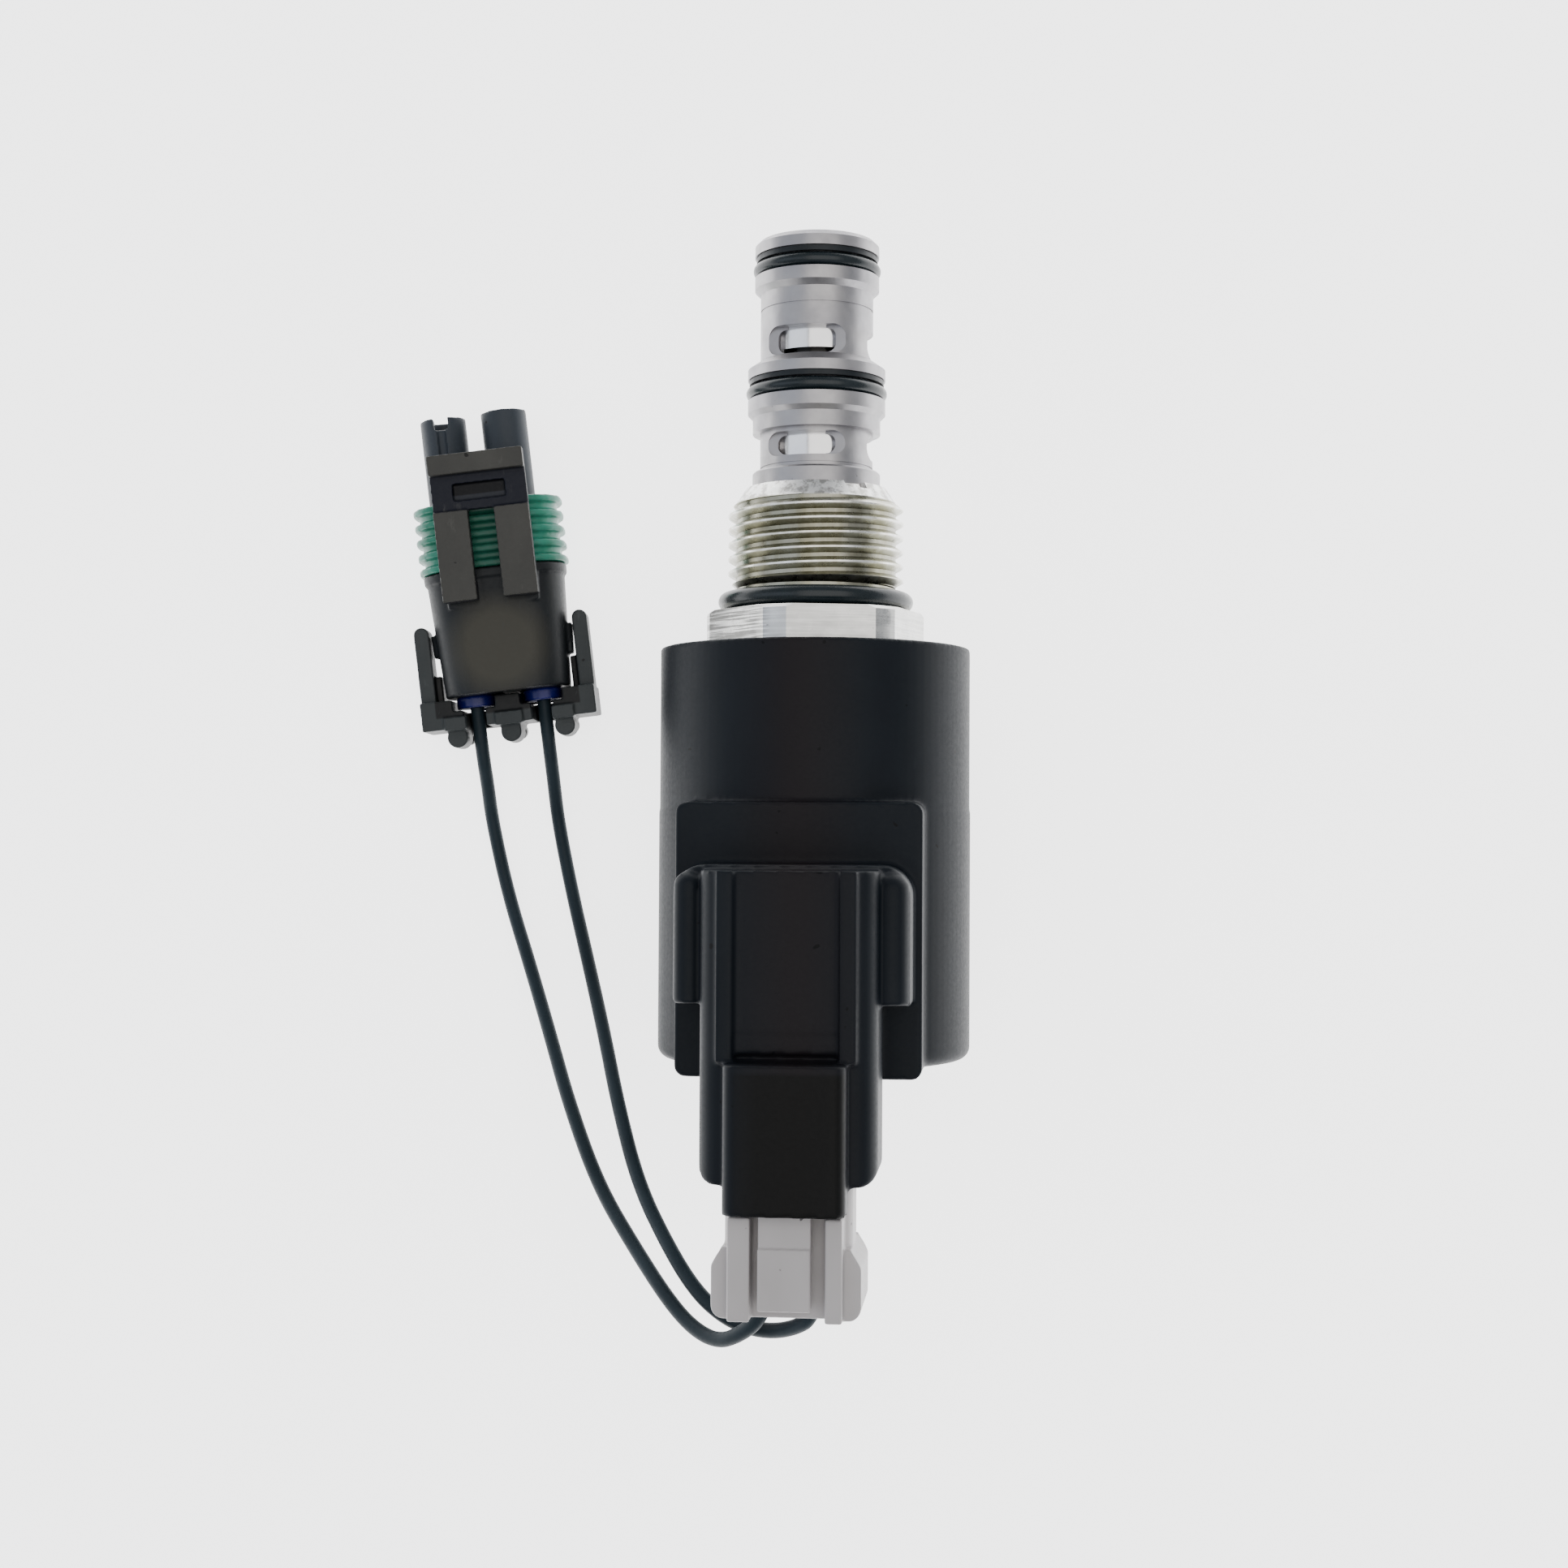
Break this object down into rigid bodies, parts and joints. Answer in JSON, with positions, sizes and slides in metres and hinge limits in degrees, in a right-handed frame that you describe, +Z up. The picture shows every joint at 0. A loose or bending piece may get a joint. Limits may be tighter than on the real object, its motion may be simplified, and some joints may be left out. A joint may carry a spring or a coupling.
{
  "type": "cartridge valve",
  "caption": "Solenoid-operated spool cartridge valve with ported cage, threaded hexagon body, moulded coil, mated plug and a short two-wire harness to a sealed tower connector.",
  "frame": {"origin": "where the valve's axis meets the sealing face of the hexagon, under the thread", "axes": "+Y along the valve axis towards the nose, +Z up from the surface it lies on, which is the side the electrical receptacle is on"},
  "size_m": [0.0728, 0.1382, 0.0569],
  "materials": {
    "cage_steel": "satin turned steel",
    "spool_steel": "ground and polished",
    "zinc_steel": "zinc plated, handled",
    "core_steel": "turned",
    "spring_steel": "drawn wire",
    "black_rubber": "glossy O-ring rubber",
    "backup_polymer": "dark polymer",
    "coil_plastic": "matte blue-black moulding",
    "bobbin_plastic": "natural nylon",
    "copper_wire": "enamelled copper",
    "tinned_brass": "tin plated",
    "grey_plastic": "light grey moulding",
    "orange_plastic": "orange moulding",
    "wire_insulation": "slate black insulation",
    "tower_plastic": "dark warm grey moulding",
    "green_rubber": "teal green silicone",
    "blue_rubber": "deep blue silicone"
  },
  "bodies": {
    "coil": {"flux_washers": "zinc_steel", "flux_can": "zinc_steel", "bobbin": "bobbin_plastic", "coil_winding": "copper_wire", "coil_seals": "black_rubber", "coil_housing": "coil_plastic", "terminal_pins": "tinned_brass", "plug_housing": "grey_plastic", "plug_wire_seal": "blue_rubber", "plug_contacts": "tinned_brass", "plug_face_seal": "green_rubber", "plug_wedge_lock": "orange_plastic", "wire_left": "wire_insulation", "wire_right": "wire_insulation", "tower_housing": "tower_plastic", "tower_terminals": "tinned_brass", "cable_seals": "blue_rubber", "tower_seal": "green_rubber"},
    "cartridge": {"cage": "cage_steel", "adapter": "zinc_steel", "thread_seal": "black_rubber", "nose_o_ring": "black_rubber", "mid_o_ring": "black_rubber", "nose_backup_ring": "backup_polymer", "mid_backup_ring": "backup_polymer", "guide_tube": "core_steel", "pole_piece": "core_steel", "return_spring": "spring_steel"},
    "spool": {"spool": "spool_steel"},
    "armature": {"armature": "core_steel", "stem": "core_steel"},
    "coil_nut": {"coil_nut": "zinc_steel"},
    "plug_latch": {"plug_latch": "grey_plastic"},
    "tower_lock_arm": {"tower_lock_arm": "tower_plastic"},
    "secondary_lock": {"secondary_lock": "tower_plastic"}
  },
  "joints": [
    {"name": "cartridge_swivel", "type": "hinge", "parent": "coil", "child": "cartridge", "pos_m": [0, 0, 0], "axis": [0, 1, 0], "continuous": true},
    {"name": "armature_slide", "type": "slide", "parent": "cartridge", "child": "armature", "axis": [0, -1, 0], "range_m": [0, 0.0024], "stiffness_N_per_m": 1500, "springref_m": -0.002, "deforming": ["return_spring"]},
    {"name": "spool_slide", "type": "slide", "parent": "cartridge", "child": "spool", "axis": [0, -1, 0], "range_m": [0, 0.0024]},
    {"name": "coil_nut_turn", "type": "hinge", "parent": "cartridge", "child": "coil_nut", "pos_m": [0, -0.06, 0], "axis": [0, 1, 0], "continuous": true},
    {"name": "plug_latch_press", "type": "hinge", "parent": "coil", "child": "plug_latch", "pos_m": [-0.0034, -0.074, 0.03237], "axis": [0.9945, 0, 0.1045], "range_deg": [0, 4], "stiffness_Nm_per_rad": 0.02},
    {"name": "tower_lock_press", "type": "hinge", "parent": "coil", "child": "tower_lock_arm", "pos_m": [-0.04215, 0.00447, -0.0069], "axis": [-0.9924, -0.1227, 0], "range_deg": [0, 4.5], "stiffness_Nm_per_rad": 0.02},
    {"name": "secondary_lock_hinge", "type": "hinge", "parent": "coil", "child": "secondary_lock", "pos_m": [-0.03983, -0.01428, -0.0184], "axis": [0.9924, 0.1227, 0], "range_deg": [0, 75]}
  ],
  "couplings": [
    {"joint": "spool_slide", "follows": "armature_slide", "ratio": 1}
  ]
}
